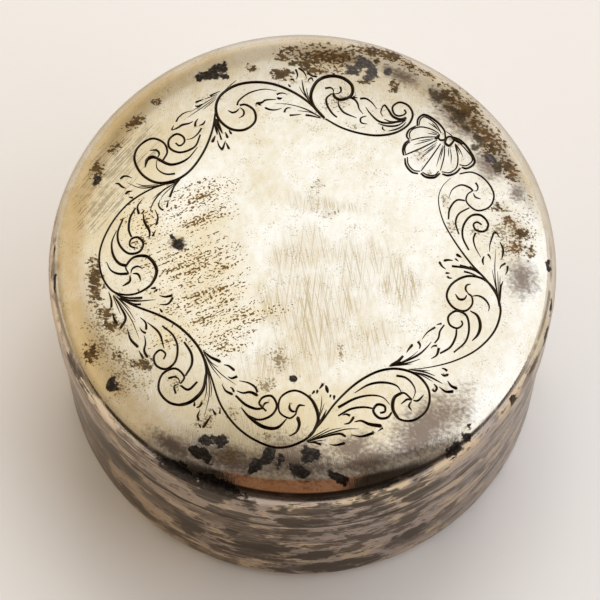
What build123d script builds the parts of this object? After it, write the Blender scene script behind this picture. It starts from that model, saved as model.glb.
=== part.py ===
"""Round silver pyx with a pull-off lid, made up from sheet and wire as a silversmith makes it.

Units are millimetres. +Z is up and the axis of the box, and the origin is the centre of the underside.
The lid is a domed cover soldered on a side band. The base is a pan, a side wall, a mouth wire and a bezel.
The lid slips down over the bezel and comes to rest on the rim of the wall.
"""

import os
from math import atan2, degrees

from build123d import *

# Lid
LID_RADIUS = 32.0  # outside of the side band
LID_BAND_HEIGHT = 8.2
LID_BAND_THICKNESS = 0.9
COVER_THICKNESS = 0.8
SHOULDER_RADIUS = 4.4  # outside radius of the rounded shoulder
DOME_RISE = 1.8  # height of the crown above the top of the shoulder curve
MOUTH_BEVEL = 0.25  # bevel on the two lower edges of the band

# Base
RIM_HEIGHT = 23.8  # height of the rim that the lid rests on
WALL_THICKNESS = 0.7
PAN_THICKNESS = 0.8
PAN_CORNER_RADIUS = 2.4  # outside radius of the rounded corner under the wall
WIRE_HEIGHT = 1.6
WIRE_PROJECTION = 0.2

# Bezel, the sleeve inside the wall that the lid slips over
BEZEL_THICKNESS = 0.6
BEZEL_DEPTH = 6.0  # how far it reaches down inside the wall
BEZEL_RISE = 5.0  # how far it stands up above the rim
BEZEL_LEAD_IN = 0.2  # rounding of its upper edges
SLIP_CLEARANCE = 0.08  # radial clearance between the bezel and the lid band

# Sizes that follow from the ones above
lid_band_inside = LID_RADIUS - LID_BAND_THICKNESS
bezel_outside = lid_band_inside - SLIP_CLEARANCE
bezel_inside = bezel_outside - BEZEL_THICKNESS
body_radius = bezel_outside + WALL_THICKNESS
shoulder_height = RIM_HEIGHT + LID_BAND_HEIGHT

# The dome is an arc about a point on the axis, tangent inside to the shoulder arc
shoulder_centre = LID_RADIUS - SHOULDER_RADIUS
crown_above_shoulder = SHOULDER_RADIUS + DOME_RISE
dome_radius = (shoulder_centre**2 + crown_above_shoulder**2 - SHOULDER_RADIUS**2) / (2 * DOME_RISE)
dome_centre_height = shoulder_height + crown_above_shoulder - dome_radius
tangent_angle = degrees(atan2(shoulder_height - dome_centre_height, shoulder_centre))


def ring_sketch(inside, outside, low, high):
    """Draws the section of a plain ring in the current sketch, whose plane is XZ."""
    with Locations(((inside + outside) / 2, (low + high) / 2)):
        Rectangle(outside - inside, high - low)


# Lid cover: a sheet of even thickness, domed on top and rounded over at the shoulder
with BuildPart() as lid_cover:
    with BuildSketch(Plane.XZ):
        with BuildLine():
            inner_shoulder_radius = SHOULDER_RADIUS - COVER_THICKNESS
            inner_dome_radius = dome_radius - COVER_THICKNESS
            for shoulder, dome in (
                (SHOULDER_RADIUS, dome_radius),
                (inner_shoulder_radius, inner_dome_radius),
            ):
                CenterArc((shoulder_centre, shoulder_height), shoulder, 0, tangent_angle)
                CenterArc((0, dome_centre_height), dome, tangent_angle, 90 - tangent_angle)
            Line((LID_RADIUS - COVER_THICKNESS, shoulder_height), (LID_RADIUS, shoulder_height))
            Line((0, dome_centre_height + inner_dome_radius), (0, dome_centre_height + dome_radius))
        make_face()
    revolve(axis=Axis.Z)
lid_cover.part.label = "lid_cover"

# Lid band: the lid's upright side, bevelled at the mouth
with BuildPart() as lid_band:
    with BuildSketch(Plane.XZ):
        ring_sketch(lid_band_inside, LID_RADIUS, RIM_HEIGHT, shoulder_height)
    revolve(axis=Axis.Z)
    chamfer(lid_band.edges().group_by(Axis.Z)[0], length=MOUTH_BEVEL)
lid_band.part.label = "lid_band"

# Body wall: the base's upright side, from the pan up to the rim
with BuildPart() as body_wall:
    with BuildSketch(Plane.XZ):
        ring_sketch(bezel_outside, body_radius, PAN_CORNER_RADIUS, RIM_HEIGHT)
    revolve(axis=Axis.Z)
body_wall.part.label = "body_wall"

# Mouth wire: a flattened half-round wire that stiffens the rim, just under the seam
with BuildPart() as mouth_wire:
    with BuildSketch(Plane.XZ):
        with BuildLine():
            wire_low = (body_radius, RIM_HEIGHT - WIRE_HEIGHT)
            wire_middle = (body_radius + WIRE_PROJECTION, RIM_HEIGHT - WIRE_HEIGHT / 2)
            wire_high = (body_radius, RIM_HEIGHT)
            ThreePointArc(wire_low, wire_middle, wire_high)
            Line(wire_high, wire_low)
        make_face()
    revolve(axis=Axis.Z)
mouth_wire.part.label = "mouth_wire"

# Bezel: the sleeve soldered inside the wall, rounded at the top so that the lid starts easily
with BuildPart() as bezel:
    with BuildSketch(Plane.XZ):
        ring_sketch(bezel_inside, bezel_outside, RIM_HEIGHT - BEZEL_DEPTH, RIM_HEIGHT + BEZEL_RISE)
    revolve(axis=Axis.Z)
    fillet(bezel.edges().group_by(Axis.Z)[-1], radius=BEZEL_LEAD_IN)
bezel.part.label = "bezel"

# Base pan: the flat bottom with its rounded corner, which carries the wall
with BuildPart() as base_pan:
    with BuildSketch(Plane.XZ):
        with BuildLine():
            corner_centre = (body_radius - PAN_CORNER_RADIUS, PAN_CORNER_RADIUS)
            inner_corner_radius = PAN_CORNER_RADIUS - PAN_THICKNESS
            CenterArc(corner_centre, PAN_CORNER_RADIUS, -90, 90)
            CenterArc(corner_centre, inner_corner_radius, -90, 90)
            Line((body_radius - PAN_THICKNESS, PAN_CORNER_RADIUS), (body_radius, PAN_CORNER_RADIUS))
            Polyline(
                (corner_centre[0], 0),
                (0, 0),
                (0, PAN_THICKNESS),
                (corner_centre[0], PAN_THICKNESS),
            )
        make_face()
    revolve(axis=Axis.Z)
base_pan.part.label = "base_pan"

os.makedirs("parts", exist_ok=True)
for piece in (lid_cover, lid_band, body_wall, mouth_wire, bezel, base_pan):
    export_step(piece.part, f"parts/{piece.part.label}.step")
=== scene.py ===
"""Dresses the round silver pyx: engraved and tarnished lid, worn sides, gilt bezel, on a pale paper floor.

The part's frame is in metres. The engraving and the tarnish are laid out in mm on the plan of the lid,
with x to the right and y away from the camera.
"""

from math import atan2, ceil, cos, hypot, pi, radians, sin, sqrt

import bpy
import numpy as np
from mathutils import Matrix, Vector, noise
from mathutils.geometry import delaunay_2d_cdt, intersect_point_line
from mathutils.kdtree import KDTree


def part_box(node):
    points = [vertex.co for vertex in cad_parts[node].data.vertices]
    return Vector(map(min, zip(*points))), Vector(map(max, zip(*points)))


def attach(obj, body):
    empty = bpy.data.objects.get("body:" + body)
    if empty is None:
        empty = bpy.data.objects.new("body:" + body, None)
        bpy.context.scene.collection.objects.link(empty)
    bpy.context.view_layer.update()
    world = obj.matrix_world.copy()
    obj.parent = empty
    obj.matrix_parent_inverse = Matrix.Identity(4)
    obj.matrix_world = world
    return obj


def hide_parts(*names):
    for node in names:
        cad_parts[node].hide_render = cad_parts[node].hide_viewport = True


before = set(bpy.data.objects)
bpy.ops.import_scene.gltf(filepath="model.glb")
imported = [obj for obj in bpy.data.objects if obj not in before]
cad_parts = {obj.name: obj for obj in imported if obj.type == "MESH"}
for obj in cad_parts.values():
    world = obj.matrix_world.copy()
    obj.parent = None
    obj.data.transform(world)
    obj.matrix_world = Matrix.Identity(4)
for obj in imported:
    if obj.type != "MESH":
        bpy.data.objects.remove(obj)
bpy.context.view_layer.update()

MM = 0.001

# The lid's shape, as in the solids
cover_low, cover_high = (Vector(corner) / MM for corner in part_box("lid_cover"))
LID_RADIUS = cover_high.x
SHOULDER_HEIGHT = cover_low.z
CROWN_HEIGHT = cover_high.z
RIM_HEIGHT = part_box("lid_band")[0][2] / MM
SHOULDER_RADIUS = 4.4
COVER_THICKNESS = 0.8
INSIDE_RADIUS = 31.1  # of the lid's band, and nearly that of the wall
CREASE_RADIUS = 31.15  # of the brown line of dirt at the foot of the shoulder

shoulder_centre = LID_RADIUS - SHOULDER_RADIUS
crown_above_shoulder = CROWN_HEIGHT - SHOULDER_HEIGHT
dome_rise = crown_above_shoulder - SHOULDER_RADIUS
dome_radius = (shoulder_centre**2 + crown_above_shoulder**2 - SHOULDER_RADIUS**2) / (2 * dome_rise)
dome_centre_height = CROWN_HEIGHT - dome_radius
tangent_turn = atan2(SHOULDER_HEIGHT - dome_centre_height, shoulder_centre)
dome_edge = shoulder_centre + SHOULDER_RADIUS * cos(tangent_turn)

# The dome eases into the shoulder: each height is the mean of those at these shares of a reach, in mm
EASING = 1.6
EASING_SHARES = [i / 4 for i in range(-4, 5)]

# Mesh density, in mm
STEP = 0.2  # between points along a cut
SPACING = 0.4  # between points on the plain dome
SEGMENTS = 256  # round the lid
SHOULDER_ROWS = 16
INNER_ROWS = 6  # on the inner face of the dome
ENGRAVED_RADIUS = 28  # the dome out to here is one sheet of triangles
SAME_PLACE = 1e-4  # points this near to each other become one
SHARP_ANGLE = 25  # in degrees, between faces that meet in an edge

# The graver's work, in mm
HAIR_WIDTH = 0.15  # of the finest cuts
WIDEST_CUT = 0.6
GROOVE_SLOPE = 0.7  # depth of a cut against its half width
WAVE_DEPTH = 0.05  # of the shallow waves that hammering and wear leave in the dome
WAVE_LENGTH = 9

# Tarnish
FADE = 1.5  # a patch fades out at this many times its ellipse
FEATHER = 0.12  # a patch's strength from which its grain shows in full
SILVER_BUMP = 0.006  # depth of brush marks and stains, in mm
GILT_BUMP = 0.01

# The stage, in metres
FLOOR_REACH = 3
PAPER_EDGE = -0.085  # where the paper ends in front of the box and a dark table begins
TABLE_LIFT = 0.0002  # of the table over the paper
SOFTBOX_AXIS = (-0.02, 0.35, 0.936)  # the way to the middle of the soft box
LAMP_PLACE = (0.08, 0.37, 0.82)
LAMP_SIZE = 0.4
LAMP_POWER = 2.05
CAMERA_PLACE = (0, -0.13475, 0.36041)
CAMERA_TARGET = (-0.0003, 0, 0.02014)
CAMERA_ROLL = 0.0028  # in radians
CAMERA_LENS = 168.8  # in mm, as the sensor's width
SENSOR_WIDTH = 36


def cut(shares, width, points):
    """One stroke of the graver: its path, and its half width at the start, middle and end."""
    return [Vector(point) for point in points], [share * width / 2 for share in shares]


def even(width, *points):
    """A cut of nearly the same width all along."""
    return cut((0.75, 1, 0.75), width, points)


def swell(width, *points):
    """A cut that is thin at both ends."""
    return cut((0.3, 1, 0.3), width, points)


def comma(width, *points):
    """A cut that starts thin and ends thick."""
    return cut((0.25, 0.75, 1), width, points)


def hair(*points):
    """A fine hatching line."""
    return swell(HAIR_WIDTH, *points)


# The wreath of acanthus scrolls and its shell, clockwise from the upper left, as cuts on the lid's plan

UPPER_LEFT = [
    even(0.38, (-11.15, 18.9), (-11.5, 16.3), (-12.6, 13.1), (-14.3, 10.5), (-16, 9.3), (-18.3, 9),
        (-20.3, 10.3), (-21.3, 12.6), (-20.8, 14.2), (-19.1, 15.3), (-17.6, 14.6), (-17.15, 13.3),
        (-17.7, 12.1)),
    swell(0.53, (-18, 12.1), (-18.6, 12.55), (-19.1, 12.65), (-19.65, 12.3), (-19.9, 11.2)),
    swell(0.33, (-18.4, 12.45), (-18.15, 13.1), (-18.5, 13.6), (-19.4, 13.6)),
    comma(0.3, (-18.5, 12.3), (-18.4, 11.1), (-17.9, 10.5), (-17.1, 10.15), (-16.05, 10.2)),
    comma(0.47, (-13.3, 13.9), (-14.7, 12.15), (-16.6, 11.5), (-18.4, 12.4)),
    even(0.34, (-13, 15.7), (-13.7, 13.95), (-15.6, 13.2), (-16.9, 13.95), (-16.95, 15.1), (-16, 15.85),
        (-15.15, 15.4), (-15, 14.7), (-15.6, 14.15), (-16.15, 14.6)),
    comma(0.3, (-14.85, 15), (-14.1, 15.15), (-13.35, 15.8), (-12.85, 16.65)),
    comma(0.38, (-13.3, 18.05), (-13.65, 17.5), (-13.7, 16.95)),
    swell(0.3, (-13.2, 17), (-12.7, 17.2), (-12.4, 17.75)),
    comma(0.28, (-14.2, 19.2), (-15.15, 18.85), (-15.8, 18.3), (-16.15, 17.6)),
    comma(0.28, (-16.4, 17.15), (-16.7, 16.4)),
    swell(0.33, (-16.7, 16.35), (-16, 16.7), (-15.3, 17.15), (-14.45, 17.35), (-13.95, 17.65)),
    # hatched leaf above it
    comma(0.28, (-10.55, 22), (-11.2, 21.7), (-11.95, 21.3)),
    hair((-10.9, 21.55), (-12.65, 20.8)),
    hair((-10.95, 21.4), (-14.4, 18.95)),
    hair((-11, 21.2), (-12.5, 19.9), (-14.75, 18.15)),
    hair((-11.05, 20.9), (-12.75, 19.3)),
    hair((-10, 22.15), (-8.5, 23.65)),
    comma(0.33, (-12.65, 20.85), (-13.7, 20.4)),
    swell(0.35, (-12.8, 20.2), (-13.3, 19.8), (-13.8, 19.9)),
    # leaf on its left
    hair((-17.6, 8.8), (-19.4, 8.3), (-20.6, 8.4), (-22.2, 9.2)),
    hair((-18.2, 8.75), (-20, 8.65), (-21, 9)),
    hair((-18, 8.7), (-19.3, 8.45), (-20.7, 8.6)),
    comma(0.35, (-21.5, 9.75), (-22.1, 10.05), (-22.6, 10.05), (-22.95, 9.75)),
    swell(0.33, (-23.65, 9.05), (-23.2, 9.05), (-22.8, 8.65), (-22.25, 8.35)),
    comma(0.38, (-21.4, 7.95), (-22, 7.85), (-22.2, 7.6)),
    comma(0.3, (-21.9, 7.15), (-21.35, 7)),
    # fan under it
    swell(0.43, (-15.3, 9.35), (-16.4, 9), (-17.6, 8.85)),
    comma(0.38, (-15.5, 9.2), (-16.15, 8.4), (-16.7, 6.9)),
    hair((-15.6, 9.15), (-16.9, 8.3), (-18, 7.55), (-18.9, 6.7)),
    hair((-15.65, 9.1), (-16.7, 8.1), (-17.6, 7.1), (-17.85, 6.5)),
    swell(0.25, (-15.6, 9.1), (-17.4, 8), (-18.3, 7), (-18.85, 6), (-19.1, 5)),
    comma(0.3, (-17.9, 6.6), (-18.05, 5.9), (-17.8, 5.4), (-17.4, 5.15)),
    comma(0.33, (-16.85, 6.45), (-17, 5.6)),
]

UPPER = [
    even(0.43, (2.4, 18.2), (0.75, 20.2), (-1.5, 21.9), (-4, 23), (-6.5, 23.25), (-8.75, 22.75),
        (-10.5, 21.4), (-11.1, 19.75), (-10.7, 17.9), (-9.1, 16.4), (-7.4, 16.3), (-6.1, 17.5),
        (-6.25, 19.1), (-7.4, 19.95), (-8.1, 19.85)),
    comma(0.3, (-3.4, 21.95), (-5, 22.2), (-7, 21.6), (-8.25, 20.45), (-8.4, 19.85)),
    swell(0.31, (-8.1, 19.45), (-8.45, 19), (-8.95, 18.8), (-9.6, 19.15)),
    swell(0.31, (-8.05, 19.55), (-7.55, 19), (-7.6, 18.4), (-8.15, 18)),
    # leaf inside the arch
    comma(0.38, (-3.4, 20.7), (-4.9, 20.55), (-5.25, 20.25), (-6, 20.1)),
    comma(0.33, (-5.3, 19.8), (-5.7, 20)),
    comma(0.3, (-2, 21.4), (-2.5, 21.6), (-3, 21.6), (-3.4, 21.4)),
    swell(0.38, (-3.4, 21), (-3.1, 20.8), (-2.7, 20.9)),
    comma(0.33, (-2.7, 19.4), (-3.5, 19.15), (-4.25, 19.2), (-4.8, 19.45)),
    comma(0.33, (-1.5, 19.4), (-1.9, 19.45), (-2.25, 19.25), (-2.4, 18.75)),
    comma(0.3, (-0.25, 18.5), (-1.1, 18.4), (-1.75, 18.35)),
    comma(0.33, (2.4, 17.9), (1, 18.3), (0.3, 18.4)),
    hair((2.5, 17.95), (0.4, 19.25), (-2.1, 20), (-3.6, 20.05)),
    hair((2.3, 18.05), (0.75, 19), (-0.5, 19.55)),
    hair((2.3, 17.95), (1, 18.75), (-0.75, 19.05)),
    # leaf under its left end
    swell(0.45, (-11.15, 18.1), (-11.05, 16.85), (-10.85, 15.65)),
    swell(0.45, (-11, 18), (-10.65, 16.85), (-10.2, 15.8)),
    comma(0.28, (-10.9, 16.9), (-10.3, 14.85)),
    comma(0.5, (-11.1, 15.5), (-11.45, 14.65)),
    comma(0.4, (-9.85, 16), (-9.55, 15.2)),
    comma(0.38, (-9.4, 16.3), (-9.1, 15.75)),
    comma(0.35, (-10.85, 14.85), (-10.55, 13.9), (-10.1, 13.4)),
    comma(0.38, (-9.8, 14.75), (-10.15, 13.55)),
    comma(0.38, (-9.75, 14.5), (-9.35, 13.6)),
    # leaf standing at its right end
    swell(0.25, (1, 20), (0.1, 21.9), (-0.1, 23), (-0.2, 23.7)),
    hair((0.9, 20.2), (-0.25, 22), (-0.55, 22.7)),
    hair((0.95, 20.3), (0.5, 21.6), (0.4, 22.5)),
    comma(0.33, (-0.9, 23.7), (-0.75, 24.3), (-1, 25.2)),
    comma(0.33, (0.4, 23.8), (0.25, 24.4), (-0.1, 24.95), (-0.65, 25.4)),
    comma(0.33, (-1.15, 23.25), (-1.3, 23.65), (-1.6, 23.65)),
    comma(0.33, (-1.95, 22.95), (-1.7, 22.6)),
    comma(0.33, (0.45, 25.05), (0.7, 24.5), (1.1, 24.2), (1.7, 24.1)),
    swell(0.28, (0.55, 23.3), (0.75, 23.75), (1.05, 23.9), (1.25, 23.4)),
]

UPPER_RIGHT = [
    even(0.53, (2.75, 17.9), (1.25, 19.9), (0.97, 21.5), (1.9, 23.55), (3.5, 24.2), (5.1, 23.9),
        (6.2, 22.8), (6.1, 21.4), (4.8, 20.7), (4, 21.1), (3.8, 21.7)),
    even(0.35, (2.75, 17.9), (4.9, 16.6), (7.4, 15.8), (9.6, 15.6), (11.75, 16.1), (13.4, 17.4),
        (13.9, 18.9), (13.3, 20.1), (12.2, 20.5), (11.35, 19.8), (11.6, 18.75), (12.25, 18.5),
        (13.05, 19), (12.8, 19.5)),
    comma(0.33, (3.8, 21.7), (3.85, 22.1), (3.5, 22.45), (2.75, 22.35)),
    comma(0.33, (3.9, 21.65), (4.4, 21.6), (4.8, 22), (4.7, 22.65)),
    even(0.33, (3.7, 21.65), (2.95, 20.9), (3, 20), (3.75, 18.6), (4.3, 18.1)),
    swell(0.3, (4.45, 20.7), (4.5, 19.9), (5.1, 18.9), (6.8, 18.05)),
    comma(0.38, (7.6, 18.65), (7.1, 19.4), (6.9, 20.2), (6.5, 20.8), (5.9, 21.1)),
    comma(0.33, (6.95, 21), (6.2, 21.15)),
    comma(0.34, (9.4, 19.4), (8.6, 20.5), (7.9, 20.95), (7.2, 20.9)),
    swell(0.28, (8.1, 18.4), (7.3, 18.05), (7.35, 17.4), (8.15, 17.2)),
    # leaf curling into its small end
    comma(0.45, (10.1, 18.4), (9.85, 18.95), (10.3, 20.05), (10.8, 19.4), (11.4, 18.4), (12.4, 18),
        (13.1, 18.3)),
    swell(0.33, (7.9, 19.75), (8.5, 18.75), (9.7, 17.6), (11.25, 17.45), (13.05, 18.1)),
    comma(0.43, (10.25, 18), (11.2, 17.6), (12.3, 17.75), (13, 18.1)),
    swell(0.3, (9.45, 17.35), (10.6, 17), (11.9, 17.1), (13.05, 17.9)),
    swell(0.25, (10.4, 16.3), (10.05, 16.6), (10.1, 17)),
    swell(0.28, (10.75, 16.25), (11.75, 16.55), (12.5, 17), (13.1, 17.7)),
]

SHELL = [
    # rims of its seven lobes, outer and inner
    even(0.35, (14.45, 17.05), (14.6, 18.2), (15.3, 18.8), (16.8, 18), (17.9, 16.6), (18, 15.9)),
    even(0.22, (14.65, 17.1), (14.9, 18.15), (15.35, 18.5), (16.7, 17.65), (17.5, 16.2)),
    even(0.31, (13.45, 15.05), (13.1, 15.6), (13.4, 16.5), (14.35, 17.15)),
    even(0.22, (13.55, 15.2), (13.45, 15.9), (13.8, 16.55), (14.9, 17), (16.3, 16.7), (17.2, 16.15)),
    even(0.35, (12.7, 12.75), (12.6, 13.7), (12.95, 14.65), (13.45, 15)),
    even(0.22, (12.95, 12.95), (12.85, 13.8), (13.15, 14.5), (13.6, 14.85)),
    even(0.33, (12.85, 12.45), (12.95, 11.5), (13.7, 10.5), (14.5, 10.3)),
    even(0.22, (13.15, 12.65), (13.25, 11.6), (13.95, 10.75), (14.8, 10.65)),
    even(0.38, (14.8, 10.4), (15.4, 9.9), (16.5, 9.85), (17.25, 10.5)),
    even(0.22, (15, 10.55), (15.7, 10.15), (16.6, 10.2), (17.1, 10.8)),
    even(0.35, (17.5, 10.4), (18.2, 10.2), (19.2, 10.6), (19.85, 11.35)),
    even(0.22, (17.45, 10.7), (18.4, 10.6), (19.3, 11.3), (19.55, 12.8), (19.2, 14.7)),
    even(0.38, (20, 11.45), (20.6, 11.3), (21.65, 12.2), (21.1, 13.8), (19.9, 15.3), (18.6, 15.8)),
    even(0.22, (19.7, 11.8), (20.6, 11.7), (21.4, 12.6), (20.5, 14.1), (19.6, 15.1)),
    # ribs between the lobes
    even(0.2, (13.55, 15), (15.2, 15.5), (17, 15.65)),
    even(0.25, (12.75, 12.85), (15, 14), (16.95, 15.2)),
    even(0.22, (14.85, 10.7), (16.2, 12.75), (17.4, 14.7)),
    even(0.2, (17.3, 10.85), (17.8, 12.9), (17.9, 14.7)),
    # hatching in the lobes
    hair((15.8, 17.7), (16.7, 17.05), (17.35, 16.4)),
    hair((16.3, 17.7), (17.05, 16.8)),
    hair((15.7, 16.15), (17.1, 15.9)),
    hair((16.2, 16.4), (17.1, 16)),
    hair((14, 14.4), (16.5, 15.25)),
    hair((14.6, 14.95), (16.6, 15.4)),
    hair((14.9, 12.6), (16.8, 14.35)),
    hair((15.1, 13.4), (17, 14.9)),
    hair((15.3, 13.2), (16.9, 14.6)),
    hair((16.8, 11.4), (17.15, 12.7), (17.7, 14.6)),
    hair((17.1, 12.5), (17.65, 14.3)),
    hair((17.3, 12.4), (17.8, 14.5)),
    hair((18.65, 11.8), (18.7, 13.1), (18.55, 14.3)),
    hair((18.35, 12.9), (18.4, 14.2)),
    comma(0.25, (20.2, 12.9), (19.8, 13.9), (19.2, 14.8)),
    hair((19.8, 13.3), (19.3, 14.5)),
    # knot that it hangs from
    even(0.33, (18, 16), (17.95, 15.35), (17.4, 15.2), (17, 15.65)),
    even(0.4, (18.15, 15.4), (17.95, 14.9), (18.4, 14.45), (18.8, 14.8), (19.1, 15.3)),
    even(0.33, (18.05, 15.2), (18.25, 15.65), (18.75, 15.8)),
    swell(0.58, (18.7, 15.65), (19.4, 15.3), (20.3, 14.75)),
    swell(0.5, (16.6, 15.3), (17, 15.6), (17.3, 16.1)),
    hair((18, 16.6), (19.1, 15.7)),
]

RIGHT_UPPER = [
    comma(0.33, (18.6, 9.9), (17.5, 8.6), (17, 6.9), (17.5, 4), (18.9, 1.2), (21, -1.85), (22.9, -4),
        (24.1, -5.9), (24.4, -7.3)),
    even(0.28, (19.7, 10.5), (21.3, 10.8), (22.9, 9.9), (24, 7.8), (23.4, 6.1), (21.8, 5.5),
        (20.5, 6.7), (20.7, 7.7), (21.4, 8.25)),
    comma(0.31, (18.3, 7.1), (18.8, 8.3), (19.9, 8.95), (20.9, 8.65), (21.4, 8.2)),
    comma(0.3, (21.35, 8.2), (21.85, 8.25), (22, 8.8), (21.7, 9.4)),
    swell(0.25, (21.4, 7.9), (21.65, 7.35), (22.4, 7.1)),
    even(0.3, (20.4, 6.8), (19.3, 6.8), (18.4, 5.6), (18.2, 4.1)),
    even(0.28, (20.9, 5.85), (19.5, 4.9), (19.1, 3.7), (19.5, 2.1)),
    even(0.34, (20.7, 0), (19.95, 1.8), (20.1, 3.4), (21.1, 4.75), (22.3, 4.85), (23.2, 3.7),
        (22.7, 2.7), (21.6, 2.85), (21.35, 3.6), (21.8, 3.9), (22.4, 3.55)),
    # leaf below it
    comma(0.3, (22.2, -0.9), (21.5, 0.5), (21.3, 1.6), (21.6, 2.45)),
    swell(0.33, (22.6, -0.65), (22.4, -1.25), (22.5, -1.9)),
    comma(0.3, (23.4, -1.1), (23.3, -0.7), (23.05, -0.4)),
    comma(0.3, (23.3, -0.1), (23.35, 0.9), (23.9, 2.65)),
    comma(0.3, (24.6, 1.9), (24.2, 2.55), (23.9, 2.65)),
    swell(0.34, (24.6, 1.4), (25, 0.3), (24.8, -1)),
    comma(0.34, (24.5, -2.35), (24.7, -1.9), (25.2, -1.55)),
    comma(0.34, (25.2, -3.1), (25.45, -2.5), (25.5, -1.9)),
    swell(0.35, (24.9, -3.9), (24.6, -4.7), (24.4, -7.1)),
    hair((24.3, -6.4), (23.9, -3), (24.05, 0.3)),
    hair((24.2, -6), (23.55, -2.4)),
    hair((24.3, -6.2), (24.25, -2.6)),
    hair((24.4, -6.2), (24.55, -3.2)),
    # leaf on its left
    comma(0.33, (22.6, -3.65), (21.4, -2.7), (20.1, -2.35), (18.5, -2.2)),
    comma(0.3, (22.2, -3.3), (20.9, -2.4), (19.5, -2.05)),
    comma(0.22, (22, -2.9), (20.7, -2.1)),
    comma(0.28, (22.4, -3.75), (21, -3.1), (20, -2.85)),
    comma(0.38, (18.7, -1.45), (18.1, -1.4), (17.6, -1.5)),
    comma(0.38, (17.8, -2.65), (17.35, -2.3), (17, -1.75)),
    comma(0.45, (19.8, -1), (19.2, -0.65)),
    comma(0.28, (19.4, -1.55), (19, -1.2)),
    comma(0.33, (18.3, -3.15), (17.8, -3.15)),
    comma(0.33, (18.6, -3.8), (18.2, -3.8), (17.9, -3.55)),
]

RIGHT_LOWER = [
    even(0.34, (24.4, -7), (23.9, -5.2), (22.3, -3.7), (20.3, -3.5), (18.4, -4.7), (17.85, -6.3),
        (18.7, -7.7), (20.1, -8.05), (21, -7.1), (20.9, -6.05), (20.4, -5.75)),
    swell(0.31, (20.6, -5.85), (20.2, -5.2), (20.35, -4.65), (20.9, -4.5)),
    swell(0.35, (20.4, -5.85), (20, -6.5), (19.4, -6.55), (18.9, -5.85)),
    swell(0.3, (20.9, -6.1), (21.8, -6), (22.6, -6.45), (23.1, -7.3), (23, -8)),
    comma(0.34, (13, -15.8), (15, -15.6), (18.6, -14.6), (21.6, -12.9), (23.75, -10.4), (24.5, -8),
        (24.4, -6.8)),
    even(0.33, (18.6, -13.5), (20.1, -12), (20.55, -10.3), (20.2, -8.6), (19, -8.1), (18, -8.9),
        (18.2, -9.95), (19.1, -10.35), (19.75, -9.8), (19.6, -9.3)),
    even(0.33, (16.9, -13.7), (18.2, -12.8), (18.9, -11.4), (19, -10.4)),
    swell(0.47, (20.7, -8), (21.6, -8.6), (21.95, -9.9), (21.6, -11.1), (20.9, -11.9)),
    # leaf trailing from it
    comma(0.4, (15.8, -14.4), (16.5, -13.9), (16.8, -12.95)),
    comma(0.3, (15.8, -13.05), (16.1, -12.75), (16.6, -12.7)),
    even(0.28, (16.25, -12.4), (16.75, -11.7), (16.95, -10.8), (17.5, -9.95)),
    comma(0.28, (16.5, -10), (17.2, -9.8)),
    comma(0.3, (14.7, -11.95), (15.4, -11), (16.4, -10.3)),
    comma(0.38, (14.35, -13.2), (14.5, -12.7), (14.2, -12.2)),
    comma(0.4, (12.8, -13.7), (13.1, -13.2), (13.5, -12.7)),
    swell(0.55, (10.6, -15.5), (11.6, -15.1), (12.4, -15)),
    even(0.43, (10.8, -15.4), (11.7, -14.85), (12.4, -14.1)),
    hair((11, -15.4), (12.4, -14.8), (13.5, -14.1), (14.25, -13.4)),
    swell(0.3, (11, -15.4), (12.75, -14.75), (14.3, -13.9), (15.25, -13), (15.9, -12.2)),
    comma(0.3, (14.5, -14.45), (13, -15), (11.2, -15.35)),
    hair((11.2, -15.45), (12.6, -15.25), (13.5, -15.1)),
]

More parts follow.
